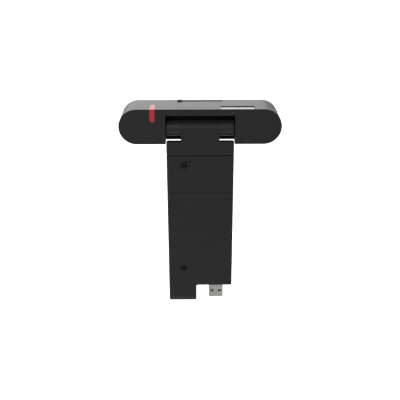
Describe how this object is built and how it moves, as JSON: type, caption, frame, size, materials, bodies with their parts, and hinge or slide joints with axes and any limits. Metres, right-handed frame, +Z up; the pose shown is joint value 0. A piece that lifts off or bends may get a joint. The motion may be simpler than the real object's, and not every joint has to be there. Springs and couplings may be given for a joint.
{
  "type": "monitor-mount webcam",
  "caption": "Monitor-mount webcam: stadium camera bar with sliding privacy shutter, tilting on a flat plug-in bracket that ends in a USB-A plug and a guide tab.",
  "frame": {"origin": "middle of the USB-A plug, where its metal shell leaves the lower edge of the bracket", "axes": "+Z up along the bracket, -Y towards the front where the lens looks, +X along the camera bar towards the red strip"},
  "size_m": [0.1228, 0.0319, 0.1648],
  "materials": {
    "bracket_plastic": "fine matt moulded texture",
    "hinge_plastic": "fine satin moulded texture",
    "bar_plastic": "fine matt moulded texture",
    "bezel_plastic": "polished black",
    "shutter_plastic": "smooth black",
    "button_plastic": "smooth black",
    "red_accent": "satin red",
    "badge_metal": "brushed, blank",
    "steel": "turned steel",
    "dark_screw": "black-coated steel",
    "plug_steel": "plated sheet steel",
    "insulator": "black moulding",
    "gold_contact": "gold-plated",
    "circuit_board": "green solder mask",
    "chip_plastic": "moulded package",
    "cable_jacket": "smooth black jacket",
    "bush_plastic": "natural acetal",
    "window_glass": "dark clear window",
    "lens_metal": "black anodised look",
    "lens_glass": "coated glass",
    "flex_film": "amber film",
    "rubber_seal": "soft black seal",
    "light_pipe": "clear moulding",
    "led_body": "clear package"
  },
  "bodies": {
    "bracket": {"front_shell": "bracket_plastic", "rear_panel_lower": "bracket_plastic", "rear_panel_upper": "bracket_plastic", "case_screws": "dark_screw", "hinge_block": "bracket_plastic", "hinge_pin": "steel", "retaining_ring": "steel", "upper_button_spring": "steel", "lower_button_spring": "steel", "usb_plug_shell": "plug_steel", "usb_plug_insulator": "insulator", "usb_plug_contacts": "gold_contact", "usb_board": "circuit_board", "usb_board_chips": "chip_plastic", "usb_board_connector": "insulator", "bracket_cable": "cable_jacket"},
    "camera_bar": {"rear_housing": "bar_plastic", "front_bezel": "bezel_plastic", "accent_strip": "red_accent", "badge_plate": "badge_metal", "hinge_yoke": "hinge_plastic", "yoke_screws": "steel", "hinge_cable_tube": "steel", "pivot_bush": "bush_plastic", "friction_washers": "steel", "hinge_end_caps": "hinge_plastic", "head_cable": "cable_jacket", "lens_window": "window_glass", "lens_barrel": "lens_metal", "lens_elements": "lens_glass", "lens_holder": "lens_metal", "image_sensor": "chip_plastic", "sensor_board": "circuit_board", "main_board": "circuit_board", "main_board_chips": "chip_plastic", "main_board_connector": "insulator", "sensor_flex": "flex_film", "microphones": "steel", "microphone_boards": "circuit_board", "microphone_gaskets": "rubber_seal", "status_light_pipe": "light_pipe", "status_led": "led_body", "camera_screws": "steel", "main_board_screws": "steel", "shutter_guide": "shutter_plastic"},
    "privacy_shutter": {"shutter_slider": "shutter_plastic", "privacy_blade": "shutter_plastic"},
    "upper_button": {"upper_spring_button": "button_plastic"},
    "lower_button": {"lower_spring_button": "button_plastic"}
  },
  "joints": [
    {"name": "bar_tilt", "type": "hinge", "parent": "bracket", "child": "camera_bar", "pos_m": [0.0128, -0.00115, 0.13395], "axis": [1, 0, 0], "range_deg": [-20, 15]},
    {"name": "shutter_slide", "type": "slide", "parent": "camera_bar", "child": "privacy_shutter", "axis": [-1, 0, 0], "range_m": [0, 0.0312]},
    {"name": "upper_button_press", "type": "slide", "parent": "bracket", "child": "upper_button", "axis": [0, -1, 0], "range_m": [0, 0.0012], "stiffness_N_per_m": 800, "springref_m": -0.001},
    {"name": "lower_button_press", "type": "slide", "parent": "bracket", "child": "lower_button", "axis": [0, -1, 0], "range_m": [0, 0.0012], "stiffness_N_per_m": 800, "springref_m": -0.001}
  ]
}
